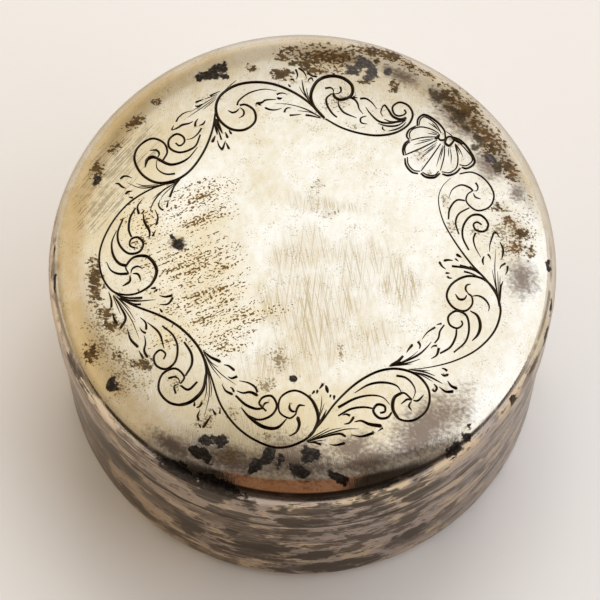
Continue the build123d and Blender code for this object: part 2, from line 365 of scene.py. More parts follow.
LOWER_RIGHT = [
    even(0.35, (0.7, -24.5), (2.3, -22.7), (4.1, -20.2), (6.8, -17.6), (9.5, -16.1), (11.9, -15.8),
        (14.2, -16.6), (15.5, -18.4), (15.3, -20.7), (13.6, -22.2), (11.8, -22.05), (11.05, -20.8),
        (11.3, -19.35), (12.4, -18.8), (13.5, -19.7)),
    swell(0.53, (11.9, -22.1), (11.1, -20.9), (11.3, -19.4), (12.4, -18.8)),
    comma(0.33, (13.5, -19.7), (13.85, -18.5), (13.4, -17.5), (12.6, -16.85), (11.5, -16.65)),
    swell(0.31, (13.5, -19.7), (14.1, -19.75), (14.9, -18.95)),
    swell(0.31, (13.5, -19.75), (12.9, -19.6), (12.05, -20.25)),
    swell(0.31, (13.45, -19.75), (13.05, -20.4), (13.4, -21)),
    swell(0.34, (12.2, -18.8), (11.6, -17.95), (10, -17.55), (8.2, -17.85), (6.4, -18.95)),
    comma(0.38, (10.8, -20.4), (9.9, -19.45), (8.5, -19.2), (6.6, -19.6), (4.4, -20.8)),
    even(0.31, (4.4, -21.85), (6, -20.95), (7.6, -20.7), (8.7, -20.85)),
    even(0.38, (11, -21.2), (10.4, -21.95), (9.4, -22), (8.7, -21.1), (9.2, -20.35), (10.1, -20.55),
        (10.1, -21.2), (9.5, -21.4)),
    swell(0.33, (1.5, -23.7), (2.4, -22.3), (3, -21.1)),
    # leaf at its right
    hair((13, -15.85), (14.6, -15.9), (15.7, -15.95)),
    swell(0.22, (13.3, -15.9), (15, -16.1), (16.3, -16.55)),
    swell(0.28, (13.5, -16.1), (15.3, -16.55), (17.2, -17.5)),
    hair((14, -16.3), (15, -16.7), (16, -17.3)),
    comma(0.34, (17.1, -15.55), (17.5, -15.65), (17.8, -15.9)),
    comma(0.38, (17, -16.25), (17.4, -16.5), (17.85, -16.35)),
    comma(0.45, (17.8, -17.1), (18.25, -17.75), (18.9, -18.05)),
    comma(0.43, (16.75, -17.9), (17.6, -18.5), (18.5, -18.45)),
    swell(0.35, (16.1, -17.55), (16.5, -18.05), (16.2, -18.5), (15.85, -18.25)),
    # leaf below it
    comma(0.35, (4.9, -21.75), (5.4, -21.6), (5.9, -21.8)),
    comma(0.4, (5.1, -22.85), (5.75, -22.7), (6.3, -22)),
    comma(0.53, (6.4, -22.55), (7.2, -22.4), (8.2, -22.8), (9.6, -23)),
    comma(0.28, (9.2, -23.7), (9.9, -23.2)),
    comma(0.4, (6, -24.15), (7.2, -24.35), (8.7, -23.9)),
    hair((0.5, -25), (1.9, -24.15), (3.3, -23.35)),
    hair((0.5, -25.05), (2, -24.35), (3.6, -23.6), (4.9, -23.3)),
    swell(0.2, (0.5, -25.1), (2.3, -24.4), (4.1, -23.8), (5.5, -23.45), (7, -23.4)),
    comma(0.34, (0.6, -25.1), (2.2, -24.6), (4.7, -24.05), (5.3, -24.35)),
    hair((0.7, -25.15), (2.9, -24.8)),
    comma(0.35, (0.6, -25.15), (1.5, -25.15), (2.4, -25.4)),
    comma(0.38, (3.4, -25.4), (4.2, -25.45), (5.2, -25.2)),
    # leaf standing inside the bottom of the wreath
    hair((2, -22.4), (2.35, -20.7), (2.45, -19.3)),
    hair((2.1, -22.2), (2.75, -20.3)),
    comma(0.38, (1.2, -19.15), (1.5, -18.8)),
    comma(0.38, (1.8, -19.1), (1.9, -18.7)),
    comma(0.4, (2.1, -18.5), (2.55, -17.9)),
    swell(0.5, (2.9, -18), (3.2, -19)),
    comma(0.3, (3.4, -19.6), (3.5, -19.25)),
    comma(0.4, (3.9, -19.85), (3.95, -19.35)),
]

BOTTOM = [
    even(0.33, (-11.9, -14.6), (-11, -17.25), (-9.9, -20.4), (-8, -23.1), (-5.6, -24.9), (-2.9, -25.8),
        (-0.4, -25.25), (1.4, -23.9), (2, -22), (1.1, -19.75), (-0.9, -18.7), (-2.6, -19.6),
        (-2.7, -21.4), (-1.4, -22.15), (-0.6, -21.5)),
    swell(0.5, (1.2, -24.1), (2, -22.2), (1.3, -20), (0.1, -18.95)),
    swell(0.35, (-0.75, -21.9), (-0.6, -21), (-0.3, -20.55), (0.4, -20.6)),
    swell(0.38, (-0.65, -21.3), (-1.15, -21.3), (-1.5, -20.9), (-1.45, -20.3)),
    comma(0.53, (-1.55, -24.4), (-0.7, -23.9), (-0.3, -22.9), (-0.5, -22.1)),
    swell(0.5, (-1.8, -22.2), (-3, -23.35), (-4.6, -23.25), (-6.4, -22), (-7.4, -20.8)),
    even(0.34, (-6.6, -21.8), (-5.2, -22.35), (-3.7, -21.8), (-3.05, -20.6), (-3.7, -19.4),
        (-4.8, -19.6), (-5.2, -20.3), (-4.7, -20.9), (-4.3, -21.3)),
    even(0.38, (-8.1, -19.3), (-6.8, -20.5), (-5.5, -21), (-4.7, -20.9)),
    swell(0.3, (-4.7, -20.8), (-4.55, -20.35), (-4, -20.15)),
    # leaf above it
    comma(0.35, (-7.7, -17.45), (-6.5, -17.75), (-5.7, -18.3), (-5.4, -18.95)),
    comma(0.43, (-8, -18.7), (-7.2, -19), (-6.3, -18.9), (-5.45, -19.3)),
    comma(0.38, (-9.75, -17.9), (-9.3, -18.7), (-8.5, -19.15)),
    comma(0.35, (-8.8, -18.25), (-8.5, -18.4), (-8.3, -18.8)),
    comma(0.38, (-9.05, -16.9), (-8.6, -17.15), (-7.9, -16.9)),
    comma(0.38, (-9.6, -15.4), (-9, -15.55), (-8.3, -16.1)),
    comma(0.45, (-12.25, -13.45), (-11.3, -14.35), (-10.05, -15)),
    hair((-12.2, -13.6), (-11.1, -15.1), (-10.25, -15.7)),
    hair((-12.15, -13.7), (-11, -15.4), (-9.75, -16.7), (-8, -18)),
    hair((-12.1, -13.8), (-11, -15.75), (-9.9, -17.2)),
    # leaf hanging outside the wreath
    hair((-11.75, -15), (-11.4, -17.1), (-11.3, -19.2), (-11.85, -21.8)),
    hair((-11.7, -16.5), (-11.65, -18.6), (-11.9, -20)),
    hair((-11.5, -16), (-11.05, -18.4), (-11.1, -19.6)),
    comma(0.38, (-12.9, -20.75), (-12.5, -20.65), (-12.2, -20.2)),
    comma(0.4, (-12.4, -21.1), (-12.7, -21.8), (-12.55, -22.3)),
    comma(0.45, (-11.1, -21.9), (-11.5, -22.5), (-12, -23.2)),
    comma(0.3, (-12.6, -22.75), (-12.3, -23.2)),
    comma(0.4, (-10.9, -21), (-10.5, -21.65)),
    comma(0.34, (-9.95, -20.9), (-10, -21.6)),
    comma(0.38, (-13.1, -20), (-13.1, -20.5)),
]

LOWER_LEFT = [
    even(0.38, (-22.6, -6.5), (-20.75, -7.55), (-17.25, -9.1), (-14.75, -10.8), (-12.5, -13.5),
        (-11.7, -16.1), (-12.25, -18.75), (-14.1, -20.3), (-16.1, -20.1), (-17.5, -18.4),
        (-17.1, -16.5), (-15.5, -15.8), (-14.4, -16.9), (-14.9, -17.8)),
    swell(0.53, (-11.8, -16.5), (-12.1, -18.5), (-13.6, -20.05), (-15.4, -20.4)),
    comma(0.33, (-14.9, -17.8), (-15.1, -17.1), (-15.6, -16.85), (-16.4, -17.05)),
    comma(0.33, (-14.9, -17.8), (-15.6, -18), (-15.4, -19)),
    even(0.35, (-14.9, -17.9), (-13.9, -18.5), (-12.75, -17.5)),
    even(0.38, (-14.5, -12.4), (-13.6, -13.9), (-13.5, -15.25), (-14.3, -16.8)),
    even(0.34, (-17.25, -10.25), (-15.9, -11.5), (-15.3, -13), (-15.6, -15), (-16.7, -15.85),
        (-17.9, -15.3), (-18.15, -14.1), (-17.4, -13.4), (-16.75, -13.9), (-17, -14.6)),
    swell(0.33, (-19.1, -9.75), (-17.6, -11.2), (-16.95, -13.2)),
    # leaf beside it
    comma(0.38, (-20, -9.1), (-19.3, -9.8), (-19.2, -10.65)),
    comma(0.33, (-20, -10.4), (-19.7, -10.9), (-19.2, -11.2)),
    comma(0.4, (-19.4, -11.5), (-19.25, -12.5), (-19.4, -13.4), (-19, -14.25)),
    comma(0.35, (-20.05, -13.4), (-19.55, -14.3)),
    comma(0.43, (-21.55, -10.5), (-21.1, -11.9), (-20.2, -12.9)),
    # fan at the left of the wreath
    hair((-23.5, -5.9), (-22, -7.9), (-21, -9.5), (-20.05, -11.8)),
    hair((-23.3, -6), (-21.6, -7.9), (-20.6, -9.5)),
    comma(0.43, (-23.5, -6), (-22.4, -7.75), (-21.8, -9.2), (-22.4, -10.4)),
    hair((-23.5, -6.1), (-22.9, -7.5), (-22.4, -8.7)),
    hair((-23.1, -6.1), (-21.2, -8)),
    comma(0.38, (-24, -5.6), (-23.65, -6.7), (-23.6, -7.6)),
    comma(0.43, (-23.4, -8.4), (-23.25, -9.1), (-22.85, -9.75)),
    comma(0.34, (-23.3, -5.9), (-21.6, -6.5), (-19.75, -6.55)),
    swell(0.22, (-23, -6.1), (-21.25, -6.9), (-18.1, -6.85)),
    comma(0.3, (-22.4, -6.5), (-20.75, -7.35), (-19.9, -7.4)),
    hair((-22.8, -6.1), (-21.5, -6.75), (-19.9, -6.8)),
    comma(0.38, (-17.7, -6.3), (-17, -6.5), (-16.05, -6.35)),
    comma(0.38, (-17.65, -7.5), (-16.6, -7.45), (-16, -6.65)),
    comma(0.35, (-17.6, -8), (-17.3, -8.45)),
    comma(0.38, (-18.8, -5.35), (-18.1, -5.3)),
    comma(0.33, (-18.4, -5.8), (-18, -5.6)),
]

LEFT = [
    even(0.3, (-16.2, 9.05), (-18.9, 8.2), (-21.9, 6.2), (-24.15, 3.1), (-25.3, -0.5), (-24.8, -3.7),
        (-23.25, -5.7), (-20.9, -6.05), (-18.7, -4.8), (-18.1, -2.7), (-19.4, -1.1), (-21.2, -1.25),
        (-21.95, -2.4), (-21.55, -3.3)),
    swell(0.5, (-20.5, -6), (-18.8, -4.9), (-18.1, -2.9), (-19.3, -1.1), (-21, -1.15), (-21.9, -2.3)),
    swell(0.3, (-21.3, -3.3), (-21.15, -2.7), (-20.5, -2.35), (-19.8, -2.7)),
    swell(0.34, (-21.1, -3.3), (-20.4, -3.4), (-20, -4.3)),
    swell(0.38, (-21.4, -3.5), (-21.4, -4.3), (-22.3, -4.95)),
    comma(0.4, (-24.4, -1.6), (-23.8, -2.75), (-22.9, -3.25), (-21.6, -3.3)),
    comma(0.45, (-23.2, 2.7), (-23.8, 0.9), (-23.5, -0.9), (-22.7, -1.95), (-21.8, -2.25)),
    even(0.35, (-22.5, 4.1), (-23.1, 2.2), (-22.8, 0.6), (-21.6, -0.6), (-20.3, -0.4), (-19.85, 0.7),
        (-20.5, 1.55), (-21.4, 1.3), (-21.5, 0.45), (-20.8, 0.1)),
    even(0.35, (-20.95, 5.6), (-21.6, 4.2), (-21.7, 2.6), (-21.3, 1.5)),
    # leaf inside it
    comma(0.35, (-20.05, 6.8), (-20.7, 5.8), (-20.5, 4.7)),
    comma(0.28, (-20.3, 4.7), (-19.9, 5.05)),
    swell(0.38, (-19.95, 4.8), (-19.8, 3.7), (-19.1, 2.3), (-19.15, 1.2)),
    comma(0.35, (-18.5, 5.3), (-18.1, 4.2), (-18.3, 3.2)),
    comma(0.3, (-18.3, 2.5), (-18.7, 1.7)),
]

WREATH = [
    *UPPER_LEFT, *UPPER, *UPPER_RIGHT, *SHELL, *RIGHT_UPPER,
    *RIGHT_LOWER, *LOWER_RIGHT, *BOTTOM, *LOWER_LEFT, *LEFT,
]

# Tarnish on the lid, and some painted shade, as ellipses on its plan: x, y, length and width in mm, and
# turn in degrees
BLACK = [
    (-12, 24.5, 3.8, 1.5, 4), (-10.5, 25.5, 1.6, 1.7, 0), (-13.3, 24, 0.9, 1.5, 0),
    (-10, 24.2, 1.5, 0.7, 0), (-11.5, -25, 1.8, 1.4, 0), (-9.9, -24.9, 2.1, 1.3, 0),
    (-12.2, -26.4, 3.4, 1.4, -27), (-5.5, -28, 2.3, 1.5, 25), (-4, -26.9, 1.6, 2.2, -20),
    (-2.6, -27.4, 0.9, 1.6, -10), (-0.5, -28.6, 3.2, 1.3, -25), (1.1, -26.6, 2.6, 1.8, 0),
    (4.5, -29.4, 2.5, 1.2, -28), (20.3, -22.6, 0.7, 0.7, 0), (20.2, -23.6, 1.3, 0.9, 0),
    (19.4, -24.4, 0.9, 1.2, 0), (18.4, -25.4, 1.8, 1.1, 45), (-15.4, 0.4, 1.4, 1.3, 0),
    (-16.2, 1.4, 1.2, 0.6, -40), (-25.9, 9.7, 1.2, 1.1, 0), (-23.2, -17.6, 1.6, 1.4, 0),
    (-1.1, -17.2, 0.9, 0.8, 0), (26.3, -18.3, 1.3, 1.1, 0), (30.7, -1.2, 1, 1.1, 0),
    (31, -6, 0.25, 1.6, 0), (30.4, -9.6, 0.3, 2.4, -15), (-31.1, 0.6, 0.25, 1.8, 0),
    (-30.9, -3.4, 0.25, 2.2, 0), (-10.4, -29.9, 7, 1.7, -20), (-15, -27.8, 6, 1.3, -30),
]
SLATE = [
    (7.2, 26.1, 2.1, 2, 0), (8.6, 24.9, 2.1, 2.2, 0), (6.2, 25.1, 2.2, 1.6, 0),
    (10.8, 24.8, 1, 1.2, 0), (23.5, 13, 1.9, 1.3, -20),
]
BROWNED = [
    (17.2, 21.7, 2.6, 1.9, -30), (18.6, 20, 2, 1.4, -40), (19.8, 18.6, 2.8, 1.9, -40),
    (19.2, 22.6, 1.8, 1, -20), (20.8, 17.1, 1.6, 1.2, -40), (22.2, 15.7, 1.5, 1.3, -40),
    (21.8, 14.2, 1.2, 1, 0), (24.6, 11.6, 1.4, 1.6, 0),
]
# Grey clouds of tarnish; along the front rim they are partly painted shade, for the dark front of the room
# that the shoulder mirrors there
CLOUDED_AND_SHADED = [
    (4, 27, 12, 2.6, -5), (12.6, 24.4, 6, 2.6, -28), (19.6, 18.6, 12, 5, -45),
    (23.6, 12.6, 7, 5.2, -65), (26.9, 8.2, 2.4, 3.4, 0), (27.3, -3.4, 4.4, 6.4, 0),
    (15.6, -22.6, 15, 7, 36), (8, -27, 12, 4.6, 14), (-0.4, -27, 13, 7, 0),
    (-9, -27.2, 11, 4, -16), (-15.6, -25.4, 9, 2.4, -32), (-15.6, 0.6, 2.4, 2.2, 0),
    (14.6, -24.4, 10, 4.4, 30), (6.2, -25.6, 8, 4.4, 10),
]
FRECKLED = [
    (2.8, 27.2, 9, 3.4, -4), (-1.4, 28.3, 2.4, 1, 0), (-2.6, 27, 2.2, 1, -10),
    (-1.2, 26.2, 2.4, 0.8, -10), (-2.9, 24.5, 2.8, 1.4, -12), (-6.5, 25.4, 1.9, 1, -25),
    (1.8, 25, 4, 1.2, -8), (8.6, 28.4, 3.6, 1.8, -15), (11, 27.6, 3.4, 2, -25),
    (13.6, 26.2, 3.6, 1.6, -28), (9.4, 26.6, 1.2, 1.2, 0), (16, 25, 2.4, 1, -35),
    (11.7, 22.9, 1.6, 1.6, 0), (8, 23.6, 2.2, 0.9, 10), (20.4, 20, 8, 4, -45),
    (23.8, 15, 5.5, 3.4, -60), (26, 11.6, 4.5, 2, -65), (24.4, 6.2, 1.2, 1.4, 0),
    (25.8, 4.4, 2.4, 1.5, -30), (27.2, 2.6, 2, 1.7, 0), (26.6, 0.6, 2.2, 1.6, 0),
    (28.4, 0.2, 1.3, 1.6, 0), (-25.8, -4.5, 1.8, 6.4, 5), (-24.4, -8.4, 2.2, 1.7, 0),
    (-23.6, -10.2, 1.6, 1.3, 0), (-26, 11.2, 1.5, 2.2, 0), (-21.4, 17.8, 3, 1.6, 35),
    (-23.6, 14.4, 2.2, 0.9, 45), (-18.7, 20.7, 1.3, 0.9, 0), (-19.7, -15.1, 2.4, 1.8, 0),
    (-22.9, -13.9, 1.1, 1.1, 0), (-26, -13.6, 1.7, 2.2, 0),
]
FAINTLY_FRECKLED = [
    (28.3, 6.6, 2.2, 2.4, 0), (26.2, 3.2, 6, 6.6, 0), (25, 6, 3, 3, 0),
    (-22, -18.4, 2.8, 2.2, 0), (-15.6, -17.6, 1.6, 1.6, 0), (-8.5, -21.5, 1.8, 2.4, 0),
    (-11.6, -22.6, 2.4, 2.2, 0), (-4, -24.2, 2.6, 1, 0), (-4.5, -18, 2.8, 1.8, 0),
    (-2.9, -14.5, 1.8, 3, 20), (6.5, 16.9, 2.8, 1, -10), (4.6, 20.4, 4, 3, 0),
    (14.8, 12.5, 2, 2.4, 0), (15.9, 10.5, 1.2, 1.2, 0), (18, 6.4, 1.2, 2, 0),
    (18.6, 3.2, 1.4, 2.2, 0), (21.4, 2.6, 1.6, 1.2, 0), (2, 8.5, 1.6, 1.8, 0),
    (3.2, 4.4, 2.6, 1.4, 0), (4.8, -14, 0.8, 2.2, 0), (-9, -26.8, 5, 1.6, 0),
    (-21.5, -16, 8, 3.4, -50), (-24.5, -12.5, 6, 4, -60), (-22.4, -10.6, 4, 3, 0),
]
STREAKED = [
    (-12.8, 7, 7.5, 3.4, 20), (-20, 3.2, 5, 5.4, 20), (-13.4, 3.2, 8.5, 3.8, 22),
    (-14, -2.4, 10, 5.8, 15), (-10.4, -3, 6.5, 3.6, 15), (-12, -7, 10.5, 3.6, 12),
    (-12.4, -9.8, 8.5, 2, 18), (-8, -9.2, 11, 2.2, 12), (-10.4, -11.6, 7, 2.4, 10),
    (-9.4, -13.2, 5, 1.8, 10), (-17, -12, 3.6, 2, 15),
]
COMBED = [
    (-23.4, 11.6, 11, 5, 52), (-25.2, 6.2, 7, 3.4, 62),
]
BRUSHED = [
    (1.5, -8, 11, 15, 0), (0, -1, 8, 7, 0), (6.5, -1.6, 9, 10, 0),
    (8.4, -12.2, 8, 6.6, 0), (-3.6, -14.6, 7, 6.6, 0), (4, 5.6, 11, 2.6, -8),
    (12, -5, 6, 8, 0),
]
TARNISH_AND_SHADE = {
    "black": BLACK,
    "slate": SLATE,
    "browned": BROWNED,
    "clouded_and_shaded": CLOUDED_AND_SHADED,
    "freckled": FRECKLED,
    "faintly_freckled": FAINTLY_FRECKLED,
    "streaked": STREAKED,
    "combed": COMBED,
    "brushed": BRUSHED,
}

# Dark stains on the front of the sides: x, height, width and depth down the side in mm
SIDE_STAINS = [
    (-5.4, 12, 9.8, 9.8), (-8.6, 16.4, 1.6, 4), (2, 10.6, 11, 4),
    (-14.2, 13, 6.4, 7.6), (-24, 18.4, 6, 8), (14.2, 8.8, 5.4, 5.4),
    (2, 4.8, 15, 4), (-22.4, 5.6, 6.6, 4.4), (-11.2, 30.8, 4.4, 4.6),
    (-6.4, 31, 2.4, 3.6), (1, 30.2, 9, 4.4), (9, 31, 4.6, 5),
    (1.2, 26, 9.6, 3.8), (8.6, 26.2, 5.6, 3), (13.2, 30.2, 6, 2.2),
    (16.2, 27, 5.6, 4),
]


def smooth_line(points):
    """Points about STEP apart on a centripetal Catmull-Rom curve through the points given."""
    if len(points) == 2:
        points = [points[0], points[0].lerp(points[1], 0.5), points[1]]
    around = [2 * points[0] - points[1], *points, 2 * points[-1] - points[-2]]
    line = []
    for four in zip(around, around[1:], around[2:], around[3:]):
        knots = [0.0]
        for start, end in zip(four, four[1:]):
            knots.append(knots[-1] + sqrt((end - start).length))
        count = max(2, ceil((four[2] - four[1]).length / STEP))
        for i in range(count):
            at = knots[1] + (knots[2] - knots[1]) * i / count
            row = four
            for reach in (1, 2):
                row = [
                    start.lerp(end, (at - low) / (high - low))
                    for start, end, low, high in zip(row, row[1:], knots, knots[reach:])
                ]
            line.append(row[0].lerp(row[1], i / count))
    return [*line, points[-1]]


def half_widths(shares, count):
    """The half width at each point along a cut, on a parabola through its start, middle and end."""
    start, middle, end = shares
    along = [i / (count - 1) for i in range(count)]
    return [start * (1 - u) * (1 - 2 * u) + middle * 4 * u * (1 - u) + end * u * (2 * u - 1) for u in along]


class Engraving:
    """The cuts laid out flat, with the points and edges that the lid's mesh keeps along them."""

    def __init__(self, cuts):
        self.points = []
        self.edges = []
        self.bottoms = []
        for path, shares in cuts:
            self.add(smooth_line(path), shares)
        self.tree = KDTree(len(self.bottoms))
        for index, (start, end, _, _) in enumerate(self.bottoms):
            self.tree.insert(start.lerp(end, 0.5).to_3d(), index)
        self.tree.balance()

    def chain(self, points):
        """Adds points joined by edges one after the other, and returns the number of the first."""
        first = len(self.points)
        self.points.extend(points)
        self.edges.extend((first + i, first + i + 1) for i in range(len(points) - 1))
        return first

    def add(self, line, shares):
        """Adds a cut: its rim with a pointed cap at each end, and its bottom, which stops short of them."""
        halves = half_widths(shares, len(line))
        before = [2 * line[0] - line[1], *line[:-1]]
        after = [*line[1:], 2 * line[-1] - line[-2]]
        ahead = [(end - start).normalized() for start, end in zip(before, after)]
        across = [half * Vector((-way.y, way.x)) for way, half in zip(ahead, halves)]
        left = [point + side for point, side in zip(line, across)]
        right = [point - side for point, side in zip(line, across)]
        start_cap = line[0] - halves[0] * ahead[0]
        end_cap = line[-1] + halves[-1] * ahead[-1]
        first = self.chain([start_cap, *left, end_cap, *reversed(right)])
        self.edges.append((len(self.points) - 1, first))
        self.chain(line[1:-1])
        self.bottoms.extend(zip(line[1:-2], line[2:-1], halves[1:-2], halves[2:-1]))

    def at(self, point):
        """How far inside the rim of a cut a point lies, in mm and as a share of the half width there."""
        inside = share_inside = 0.0
        for _, index, _ in self.tree.find_range(point.to_3d(), WIDEST_CUT / 2 + STEP):
            start, end, half_start, half_end = self.bottoms[index]
            along = intersect_point_line(point, start, end)[1]
            along = min(max(along, 0.0), 1.0)
            half = half_start + (half_end - half_start) * along
            from_rim = half - (point - start.lerp(end, along)).length
            inside = max(inside, from_rim)
            share_inside = max(share_inside, from_rim / half)
        return inside, share_inside

    def clear_of(self, point):
        """True where no cut comes near a point."""
        return not self.tree.find_range(point.to_3d(), SPACING / 2 + HAIR_WIDTH)


def circle(radius):
    """Points round a circle, anticlockwise seen from above."""
    turns = [2 * pi * i / SEGMENTS for i in range(SEGMENTS)]
    return [Vector((radius * cos(turn), radius * sin(turn))) for turn in turns]


def plain_points(engraving):
    """Points in even rows over the dome, where there is no cut."""
    found = []
    row_height = SPACING * sqrt(3) / 2
    rows = int(ENGRAVED_RADIUS / row_height)
    columns = int(ENGRAVED_RADIUS / SPACING)
    for row in range(-rows, rows + 1):
        for column in range(-columns, columns + 1):
            point = Vector(((column + row % 2 / 2) * SPACING, row * row_height))
            if point.length < ENGRAVED_RADIUS - SPACING / 2 and engraving.clear_of(point):
                found.append(point)
    return found


def dome_height(radius, thickness=0.0):
    """Height of the dome at a distance from the axis, or of its inner face below a sheet this thick."""
    return dome_centre_height + sqrt((dome_radius - thickness) ** 2 - radius**2)


def shoulder_arc(radius):
    """Distance from the axis and height of points down the shoulder, from the dome to the side."""
    turns = [tangent_turn * (1 - i / SHOULDER_ROWS) for i in range(SHOULDER_ROWS + 1)]
    return [(shoulder_centre + radius * cos(turn), SHOULDER_HEIGHT + radius * sin(turn)) for turn in turns]


def outside_height(radius):
    """Height of the outside, where the dome eases into the shoulder as on raised and planished metal."""
    reach = EASING * min((LID_RADIUS - radius) / SHOULDER_RADIUS, 1.0)
    total = 0.0
    for share in EASING_SHARES:
        at = abs(radius + share * reach)
        if at < dome_edge:
            total += dome_height(at)
        else:
            total += SHOULDER_HEIGHT + sqrt(max(SHOULDER_RADIUS**2 - (at - shoulder_centre) ** 2, 0.0))
    return total / len(EASING_SHARES)


def worn(x, y, inside_cut=0.0):
    """A point of the outside, let down by the shallow waves, which end at the side, and by a cut."""
    height = outside_height(hypot(x, y))
    wave = 0.5 + 0.5 * noise.noise(Vector((x, y, height)) / WAVE_LENGTH)
    share = min((height - SHOULDER_HEIGHT) / SHOULDER_RADIUS, 1.0)
    let_down = WAVE_DEPTH * share * min(max(wave, 0.0), 1.0) + GROOVE_SLOPE * inside_cut
    return Vector((x, y, height - let_down))


def patch_strength(patches, points):
    """Strength of one kind of patch at each point, 1 in the middle of a patch and 0 well outside it."""
    strength = np.zeros(len(points))
    for x, y, length, width, turn in patches:
        right, back = points[:, 0] - x, points[:, 1] - y
        along = right * cos(radians(turn)) + back * sin(radians(turn))
        across = back * cos(radians(turn)) - right * sin(radians(turn))
        distance = np.hypot(along / (length / 2), across / (width / 2))
        strength = np.maximum(strength, 1 - distance / FADE)
    return strength


def add_object(name, data):
    """A new object of the scene, for a mesh, a lamp or a camera."""
    obj = bpy.data.objects.new(name, data)
    bpy.context.scene.collection.objects.link(obj)
    return obj


def engraved_cover():
    """The lid's cover as one closed sheet, with the wreath cut into the dome."""
    engraving = Engraving(WREATH)
    flat = [*circle(ENGRAVED_RADIUS), *engraving.points, *plain_points(engraving)]
    kept_edges = [(start + SEGMENTS, end + SEGMENTS) for start, end in engraving.edges]
    flat, _, faces, origins, _, _ = delaunay_2d_cdt(flat, kept_edges, [], 0, SAME_PLACE)
    numbering = {origin: i for i, found in enumerate(origins) for origin in found}

    points, shares = [], []
    for point in flat:
        inside, share = engraving.at(point)
        points.append(worn(point.x, point.y, inside))
        shares.append(share)

    outer = shoulder_arc(SHOULDER_RADIUS)
    inner = shoulder_arc(SHOULDER_RADIUS - COVER_THICKNESS)
    inner_edge = inner[0][0]
    inner_dome = [inner_edge * (1 - i / INNER_ROWS) for i in range(1, INNER_ROWS)]
    inner_profile = list(reversed(inner))
    inner_profile.extend((radius, dome_height(radius, COVER_THICKNESS)) for radius in inner_dome)
    last_ring = [numbering[i] for i in range(SEGMENTS)]
    outside_end = len(points) + len(outer) * SEGMENTS
    for radius, height in outer + inner_profile:
        ring = list(range(len(points), len(points) + SEGMENTS))
        if ring[0] < outside_end:
            points.extend(worn(point.x, point.y) for point in circle(radius))
        else:
            points.extend(Vector((point.x, point.y, height)) for point in circle(radius))
        for i in range(SEGMENTS):
            faces.append((last_ring[i - 1], ring[i - 1], ring[i], last_ring[i]))
        last_ring = ring
    points.append(Vector((0, 0, dome_height(0, COVER_THICKNESS))))
    faces.extend((last_ring[i - 1], len(points) - 1, last_ring[i]) for i in range(SEGMENTS))

    mesh = bpy.data.meshes.new("engraved_cover")
    mesh.from_pydata([point * MM for point in points], [], faces)
    mesh.shade_smooth()
    mesh.set_sharp_from_angle(angle=radians(SHARP_ANGLE))
    plan = np.array(points)
    fields = {kind: patch_strength(patches, plan) for kind, patches in TARNISH_AND_SHADE.items()}
    fields["cut"] = np.pad(shares, (0, len(points) - len(shares)))
    for values in fields.values():
        values[outside_end:] = 0.0
    fields["inner_face"] = (np.arange(len(points)) >= outside_end).astype(float)
    for name, values in fields.items():
        mesh.attributes.new(name, "FLOAT", "POINT").data.foreach_set("value", values)
    return add_object("engraved_cover", mesh)


def rgb(red, green, blue):
    """A colour, in linear light."""
    return (red, green, blue, 1.0)


class Number:
    """A number that differs from place to place: a node's output, for plain arithmetic."""

    def __init__(self, graph, socket):
        self.graph = graph
        self.socket = socket

    def __add__(self, other):
        return self.graph.math("ADD", self, other)

    def __sub__(self, other):
        return self.graph.math("SUBTRACT", self, other)

    def __mul__(self, other):
        return self.graph.math("MULTIPLY", self, other)

    def __abs__(self):
        return self.graph.math("ABSOLUTE", self)

    def ramp(self, low, high):
        """0 where the number is low and 1 where it is high, with a soft step between."""
        inputs = {"Value": self, "From Min": low, "From Max": high}
        return self.graph.number("MapRange", inputs, interpolation_type="SMOOTHSTEP")


class Graph:
    """Short calls that add nodes to a node tree."""

    def __init__(self, tree):
        self.tree = tree

    def feed(self, node, inputs):
        """Sets inputs of a node to values, or links them to the outputs of other nodes."""
        for key, value in inputs.items():
            if isinstance(value, Number):
                value = value.socket
            if isinstance(value, bpy.types.NodeSocket):
                self.tree.links.new(value, node.inputs[key])
            else:
                node.inputs[key].default_value = value

    def add(self, kind, inputs, output=0, **settings):
        """Adds a node with its settings and inputs, and returns one of its outputs."""
        node = self.tree.nodes.new("ShaderNode" + kind)
        for key, value in settings.items():
            setattr(node, key, value)
        self.feed(node, inputs)
        return node.outputs[output]

    def number(self, kind, inputs, output=0, **settings):
        """Adds a node whose output is a number."""
        return Number(self, self.add(kind, inputs, output, **settings))

    def math(self, operation, first, second=0.0):
        """Arithmetic with one or two numbers."""
        return self.number("Math", {0: first, 1: second}, operation=operation)

    def most(self, first, *others):
        """The largest of several numbers."""
        for other in others:
            first = self.math("MAXIMUM", first, other)
        return first

    def parts(self, vector):
        """The three numbers of a vector."""
        separated = self.add("SeparateXYZ", {0: vector}).node
        return [Number(self, output) for output in separated.outputs]

    def mix(self, share, first, second):
        """The first colour where the share is 0, and the second where it is 1."""
        return self.add("Mix", {0: share, 6: first, 7: second}, 2, data_type="RGBA")

    def layers(self, colour, *coats):
        """A colour under coats of others, each with its share of cover, the lowest first."""
        for share, coat in coats:
            colour = self.mix(share, colour, coat)
        return colour


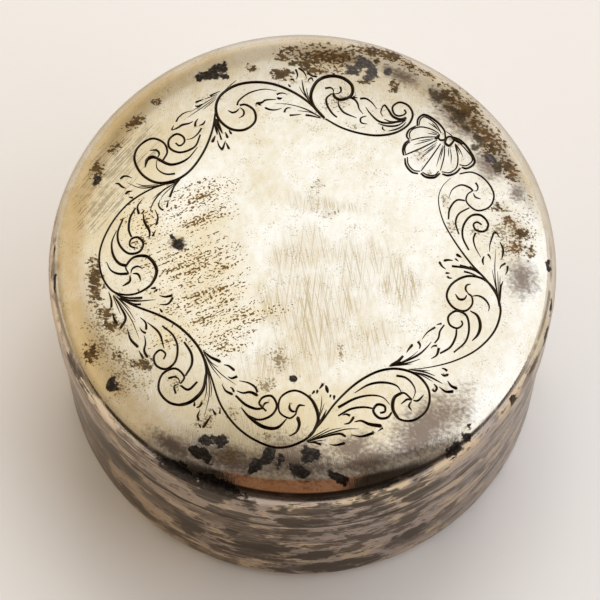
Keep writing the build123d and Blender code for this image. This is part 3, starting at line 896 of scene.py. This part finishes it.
class Paint(Graph):
    """A material under construction, with patterns that are sized in mm on the part."""

    def __init__(self, name, metallic=1.0):
        self.material = bpy.data.materials.new(name)
        self.material.use_nodes = True
        super().__init__(self.material.node_tree)
        self.shader = self.tree.nodes["Principled BSDF"]
        self.feed(self.shader, {"Metallic": metallic})
        metres = self.add("TexCoord", {}, "Object")
        self.place = self.add("VectorMath", {0: metres, "Scale": 1 / MM}, operation="SCALE")

    def grain(self, length, width, height, turn=0, detail=2.0, roughness=0.5):
        """Noise whose features are of this size along x, y and z, after a turn about z."""
        inputs = {"Vector": self.place, "Rotation": (0, 0, radians(turn)), "Scale": (length, width, height)}
        place = self.add("Mapping", inputs, vector_type="TEXTURE")
        inputs = {"Vector": place, "Scale": 1.0, "Detail": detail, "Roughness": roughness}
        return self.number("TexNoise", inputs)

    def field(self, name):
        """A number that the mesh has at each of its points."""
        return self.number("Attribute", {}, "Fac", attribute_name=name)

    def side_stain(self, right, up, width, depth):
        """Strength of a stain on the front of the sides, 1 in its middle and 0 well outside its ellipse."""
        middle = (right, -sqrt(LID_RADIUS**2 - right**2), up)
        half_size = (width / 2, LID_RADIUS / 2, depth / 2)
        inputs = {"Vector": self.place, "Location": middle, "Scale": half_size}
        place = self.add("Mapping", inputs, vector_type="TEXTURE")
        distance = self.add("VectorMath", {0: place}, "Value", operation="LENGTH")
        return self.number("MapRange", {"Value": distance, "From Max": FADE, "To Min": 1.0, "To Max": 0.0})

    def patch(self, field, grain, reach, edge, soft):
        """Where a grain, lifted by a reach in a field of tarnish, comes over an edge, and none outside."""
        return (grain + field * reach).ramp(edge, edge + soft) * field.ramp(0, FEATHER)

    def finish(self, colour, roughness, height, depth):
        """Feeds the shader, with a bump this many mm deep, and returns the material."""
        bump = self.add("Bump", {"Strength": 1.0, "Distance": depth * MM, "Height": height})
        self.feed(self.shader, {"Base Color": colour, "Roughness": roughness, "Normal": bump})
        return self.material


def tarnished_sides(paint, x, y, height):
    """Colour of the sides: olive brown at the left to lavender grey at the right, paler at the back,
    blotched cream and dark, with fine scratches; the paler right and back are partly painted light.
    """
    # Paler and greyer toward the right: partly the sides' own tone and partly a painted reflection of the
    # brighter right of the room
    toward_lit_right = x.ramp(-24, 24)
    dim = paint.mix(toward_lit_right, rgb(0.23, 0.18, 0.14), rgb(0.34, 0.295, 0.275))
    rubbed = paint.mix(toward_lit_right, rgb(0.58, 0.475, 0.395), rgb(0.6, 0.52, 0.485))
    scratches = paint.grain(16, 16, 0.4)
    drawn_out = scratches * 0.24
    broad = paint.grain(11, 11, 7, detail=6, roughness=0.6) + drawn_out
    pale = paint.grain(6.5, 6.5, 3.6, turn=30, detail=6, roughness=0.62) + drawn_out
    pale = pale + height.ramp(27.5, 30.5) * 0.07
    ragged = paint.grain(5.5, 5.5, 3.6, detail=6, roughness=0.62) + drawn_out
    # Paler at the back and darker at the front: partly heavier tarnish at the front and partly painted
    # shade for the shadowed floor that the front mirrors
    behind = (y + x * 0.15).ramp(-2, 3)
    stains = paint.most(*(paint.side_stain(*stain) for stain in SIDE_STAINS))
    stained = paint.patch(stains, ragged, reach=0.22, edge=0.69, soft=0.07)
    spots = paint.grain(1.8, 1.8, 1.2, detail=4, roughness=0.6)
    return paint.layers(
        dim,
        (broad.ramp(0.57, 0.66), rubbed),
        (pale.ramp(0.65, 0.72), rgb(0.82, 0.665, 0.485)),
        (ragged.ramp(0.58, 0.545) * 0.85, rgb(0.085, 0.066, 0.056)),
        (behind * 0.5, rgb(0.62, 0.52, 0.41)),
        (stained * 0.92, rgb(0.03, 0.025, 0.023)),
        (spots.ramp(0.6, 0.65) * 0.7, rgb(0.1, 0.06, 0.03)),
        (scratches.ramp(0.6, 0.68) * 0.35, rgb(0.58, 0.49, 0.41)),
    )


def tarnished_silver():
    """Worn silver: scratched and stained on top, patchy on the sides, dark in the cuts."""
    paint = Paint("tarnished_silver")
    paint.feed(paint.shader, {"Specular Tint": rgb(0.7, 0.65, 0.6)})
    x, y, height = paint.parts(paint.place)
    from_axis = paint.math("SQRT", x * x + y * y)

    # Grains that several kinds of wear share
    upright = paint.grain(0.14, 9, 9, turn=-6, detail=1)
    leaning = paint.grain(0.16, 6, 6, turn=12, detail=1)
    brushing = paint.most(upright, leaning)
    mottling = paint.grain(0.9, 1.3, 1.1, turn=-8, detail=4, roughness=0.65)
    clouds = paint.grain(3, 3, 3, detail=3)
    lumps = paint.grain(1, 1, 1, detail=4, roughness=0.6)
    clusters = paint.grain(2.4, 1.8, 2.4)
    crumbs = paint.grain(0.52, 0.38, 0.5, turn=-15, detail=3, roughness=0.55)
    worn_off = crumbs.ramp(0.46, 0.62)

    # Yellow film, thickest outside the wreath at the left and the back
    leftward = x + y * 0.6
    thickness = leftward.ramp(14, -20) * 0.12 + y.ramp(16, 26) * 0.1 + 0.07
    outside_wreath = paint.most(from_axis.ramp(29, 26), x.ramp(-8, -24)) * from_axis.ramp(16, 20.5)
    yellowing = thickness * outside_wreath + leftward.ramp(6, -12) * 0.07
    film = paint.grain(9, 9, 9, detail=4) * 0.7 + yellowing + mottling * 0.5

    # Brush marks, specks, scratches, and clouds of grey tarnish that along the front rim are partly painted
    # shade
    uneven = paint.grain(4, 6, 4, detail=5, roughness=0.6)
    rubbed = paint.patch(paint.field("brushed"), uneven, reach=0.45, edge=0.54, soft=0.36)
    lines = rubbed * brushing.ramp(0.5, 0.68)
    specks = paint.grain(0.2, 0.2, 0.2, detail=1) + clusters * 0.5
    combing = paint.grain(4, 0.15, 4, turn=50) + lumps * 0.6
    combed = paint.patch(paint.field("combed"), combing, reach=0.18, edge=0.87, soft=0.12)
    gritty = (clouds + crumbs * 2) * 0.45
    clouded_and_shaded = paint.patch(paint.field("clouded_and_shaded"), gritty, reach=0.9, edge=0.87, soft=0.6)

    # Brown streaks in rows
    streaks = paint.field("streaked")
    rows = paint.grain(5, 0.4, 5, turn=22, detail=1) * 0.55
    dashes = paint.grain(0.32, 0.21, 0.32, turn=22, detail=1) + rows
    streaked = paint.patch(streaks, dashes, reach=0.16, edge=0.955, soft=0.04)

    # The sides, which begin higher up at the front, and the crease at the foot of the shoulder
    bare_rim = (y + x * 0.35).ramp(-8, 4) * 2.4
    side = (height + clouds * 3 + bare_rim).ramp(36.6, 35.2)
    above_side = height.ramp(SHOULDER_HEIGHT + 0.5, SHOULDER_HEIGHT + 1.5)
    foot = abs(from_axis - CREASE_RADIUS).ramp(0.26, 0.08) * above_side
    crease = foot * y.ramp(6, -4) * clouds.ramp(0.3, 0.5)

    # Freckles, brown to rusty
    faint = paint.field("faintly_freckled")
    freckles = paint.field("freckled")
    tint = paint.most(freckles, faint * 0.5)
    flecks = paint.grain(0.32, 0.25, 0.3, turn=-15) + clusters * 0.4
    smudges = paint.patch(faint, flecks, reach=0.2, edge=0.85, soft=0.07)
    freckled = paint.patch(freckles, crumbs + clusters * 0.4, reach=0.31, edge=0.79, soft=0.1)
    rust = clouds.ramp(0.42, 0.6) * x.ramp(17, 24)
    rusty = paint.layers(
        rgb(0.058, 0.031, 0.009),
        (rust, rgb(0.115, 0.054, 0.015)),
        (mottling.ramp(0.46, 0.58) * 0.4, rgb(0.23, 0.138, 0.055)),
    )

    # Larger spots
    browned = paint.patch(paint.field("browned"), lumps, reach=0.45, edge=0.58, soft=0.2)
    brown = paint.mix(worn_off, rgb(0.045, 0.031, 0.017), rgb(0.12, 0.09, 0.06))
    slate = paint.patch(paint.field("slate"), lumps, reach=0.5, edge=0.62, soft=0.1)
    slate_grey = paint.mix(worn_off, rgb(0.055, 0.049, 0.05), rgb(0.14, 0.125, 0.128))
    spots = paint.field("black")
    halo = paint.patch(spots, lumps, reach=0.5, edge=0.55, soft=0.2)
    black = paint.patch(spots, lumps, reach=0.65, edge=0.66, soft=0.1)
    soot = paint.mix(worn_off, rgb(0.022, 0.018, 0.016), rgb(0.06, 0.05, 0.044))

    # Dirt in the cuts, dirt and painted shade in the seam, and the yellowed inside
    cut_dirt = paint.field("cut").ramp(0, 0.25)
    # A dark line at the seam: partly dirt and partly painted shade in the gap between the lid and the body
    seam_dirt_and_shade = abs(height - RIM_HEIGHT).ramp(0.65, 0.42)
    under_lid = height.ramp(0.5, 0.7) * height.ramp(SHOULDER_HEIGHT + 0.4, SHOULDER_HEIGHT + 0.1)
    within_walls = from_axis.ramp(INSIDE_RADIUS + 0.2, INSIDE_RADIUS)
    indoors = paint.most(within_walls * under_lid, paint.field("inner_face"))
    yellowed = paint.mix(clouds, rgb(0.5, 0.43, 0.31), rgb(0.72, 0.64, 0.49))

    bare_silver = rgb(0.85, 0.835, 0.785)
    colour = paint.layers(
        bare_silver,
        (film.ramp(0.42, 1), rgb(0.67, 0.57, 0.38)),
        (rubbed * 0.24, rgb(0.55, 0.43, 0.27)),
        (lines * 0.75, rgb(0.45, 0.35, 0.19)),
        (specks.ramp(0.9, 0.99) * 0.5, rgb(0.27, 0.21, 0.1)),
        (combed * 0.75, rgb(0.31, 0.26, 0.17)),
        # grey clouds: tarnish, and along the front rim partly painted shade
        (clouded_and_shaded * 0.92, rgb(0.2, 0.15, 0.12)),
        (streaks * 0.4, rgb(0.76, 0.61, 0.31)),
        (streaked * 0.95, rgb(0.16, 0.08, 0.006)),
        (side, tarnished_sides(paint, x, y, height)),
        (crease * 0.7, rgb(0.17, 0.1, 0.055)),
        (tint.ramp(0.1, 0.7) * 0.5, rgb(0.42, 0.31, 0.18)),
        (smudges * 0.8, rgb(0.2, 0.14, 0.06)),
        (freckled * 0.92, rusty),
        (browned * 0.92, brown),
        (slate * 0.95, slate_grey),
        (halo * 0.6, rgb(0.17, 0.14, 0.12)),
        (black * 0.97, soot),
        (cut_dirt, rgb(0.035, 0.026, 0.018)),
        (indoors, yellowed),
        # dark line at the seam: dirt and painted shade
        (seam_dirt_and_shade * 0.85, rgb(0.06, 0.045, 0.03)),
    )
    stains = paint.most(black, slate, browned, freckled, streaked)
    roughness = paint.most(stains, side * 0.6) * 0.24 + 0.09
    return paint.finish(colour, roughness, brushing - stains, SILVER_BUMP)


def gilding():
    """Gold wash, thin and a little rubbed."""
    paint = Paint("gilding")
    rubbed = paint.grain(6, 6, 1.2, detail=4).ramp(0.45, 0.7)
    lines = paint.grain(9, 9, 0.2)
    colour = paint.mix(rubbed, rgb(0.95, 0.68, 0.3), rgb(0.85, 0.66, 0.4))
    return paint.finish(colour, lines.ramp(-0.6, 2.4), lines, GILT_BUMP)


def plane(name, front, back, height, material):
    """A level rectangle as wide as the floor, from its front edge to its back edge."""
    left, right = -FLOOR_REACH, FLOOR_REACH
    corners = [(left, front, height), (right, front, height), (right, back, height), (left, back, height)]
    mesh = bpy.data.meshes.new(name)
    mesh.from_pydata(corners, [], [(0, 1, 2, 3)])
    mesh.materials.append(material)
    obj = add_object(name, mesh)
    return obj


def lay_paper():
    """Pale paper, which is the floor."""
    paper = Paint("paper", metallic=0.0)
    fibres = paper.grain(30, 30, 30, detail=4)
    colour = paper.mix(fibres, rgb(0.92, 0.91, 0.91), rgb(0.94, 0.94, 0.94))
    paper.feed(paper.shader, {"Base Color": colour, "Roughness": 0.9, "Specular IOR Level": 0.1})
    plane("floor", -FLOOR_REACH, FLOOR_REACH, 0.0, paper.material)


def lay_table():
    """Dark table beyond the paper's front edge, which only shows as a reflection in the metal."""
    wood = Paint("dark_table", metallic=0.0)
    figure = wood.grain(40, 40, 40, detail=3)
    colour = wood.mix(figure, rgb(0.009, 0.01, 0.01), rgb(0.014, 0.015, 0.015))
    wood.feed(wood.shader, {"Base Color": colour})
    table = plane("table", -FLOOR_REACH, PAPER_EDGE, TABLE_LIFT, wood.material)
    for ray in ("camera", "diffuse", "shadow", "transmission", "volume_scatter"):
        setattr(table, "visible_" + ray, False)


def light_room():
    """White at the right, warmer and dimmer to the left, a soft box overhead, dark behind the camera."""
    world = bpy.data.worlds.new("room")
    bpy.context.scene.world = world
    world.use_nodes = True
    room = Graph(world.node_tree)
    direction = room.add("TexCoord", {}, "Generated")
    x, y, z = room.parts(direction)
    high_up = z.ramp(0.05, 0.6) * x.ramp(-0.75, -0.35)
    back_wall = room.mix(high_up, rgb(0.86, 0.7, 0.48), rgb(0.46, 0.37, 0.24))
    low_left = z.ramp(0.5, 0) * x.ramp(-0.1, -0.6) * y.ramp(0.55, 0.2)
    overhead = room.number("VectorMath", {0: direction, 1: SOFTBOX_AXIS}, "Value", operation="DOT_PRODUCT")
    askew = y + x * 0.8
    beside = x - y * 0.9
    depth = beside.ramp(-0.32, -0.16) * 0.6 + beside.ramp(-0.8, -0.5) * 0.4
    walls = room.layers(
        rgb(0.9, 0.745, 0.53),
        (x.ramp(-0.6, 0.7), rgb(1.27, 1.28, 1.31)),
        (y.ramp(0.45, 0.62) * 0.7, back_wall),
        (low_left * 0.6, rgb(0.36, 0.29, 0.2)),
        (overhead.ramp(0.91, 0.978), rgb(1.22, 1.21, 1.18)),
        (askew.ramp(0.14, -0.04) * depth, rgb(0.31, 0.265, 0.225)),
    )
    middle = abs(x + 0.05).ramp(0.34, 0.24) * z.ramp(0.1, 0.2)
    behind_camera = room.mix(middle, rgb(0.03, 0.022, 0.016), rgb(0.26, 0.125, 0.068))
    frontal = y + abs(x) * 0.27
    lit = room.mix(frontal.ramp(-0.64, -0.46), behind_camera, walls)
    from_camera = room.add("LightPath", {}, "Is Camera Ray")
    shown = room.mix(from_camera, lit, rgb(0.88, 0.84, 0.8))
    room.feed(world.node_tree.nodes["Background"], {"Color": shown})


def aim(obj, place, target, roll=0.0):
    """Puts a lamp or a camera in its place and turns it to a target."""
    obj.location = place
    turn = (Vector(target) - obj.location).to_track_quat("-Z", "Y").to_matrix()
    obj.rotation_euler = (turn @ Matrix.Rotation(roll, 3, "Z")).to_euler()


def place_lamp():
    """Large soft lamp at the back right, which the metal does not mirror."""
    lamp = bpy.data.lights.new("key", "AREA")
    lamp.energy = LAMP_POWER
    lamp.size = LAMP_SIZE
    obj = add_object("key", lamp)
    obj.visible_glossy = False
    aim(obj, LAMP_PLACE, (0, 0, 0))


def place_camera():
    """Camera that looks down on the lid from the front."""
    camera = bpy.data.cameras.new("camera")
    camera.lens = CAMERA_LENS
    camera.sensor_width = SENSOR_WIDTH
    obj = add_object("camera", camera)
    aim(obj, CAMERA_PLACE, CAMERA_TARGET, CAMERA_ROLL)
    bpy.context.scene.camera = obj


silver = tarnished_silver()
gilt = gilding()
for node_name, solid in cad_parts.items():
    solid.data.materials.clear()
    solid.data.materials.append(gilt if node_name == "bezel" else silver)

cover = engraved_cover()
cover.data.materials.append(silver)
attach(cover, "lid")
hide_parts("lid_cover")

lay_paper()
lay_table()
light_room()
place_lamp()
place_camera()
bpy.context.scene.view_settings.view_transform = "Standard"
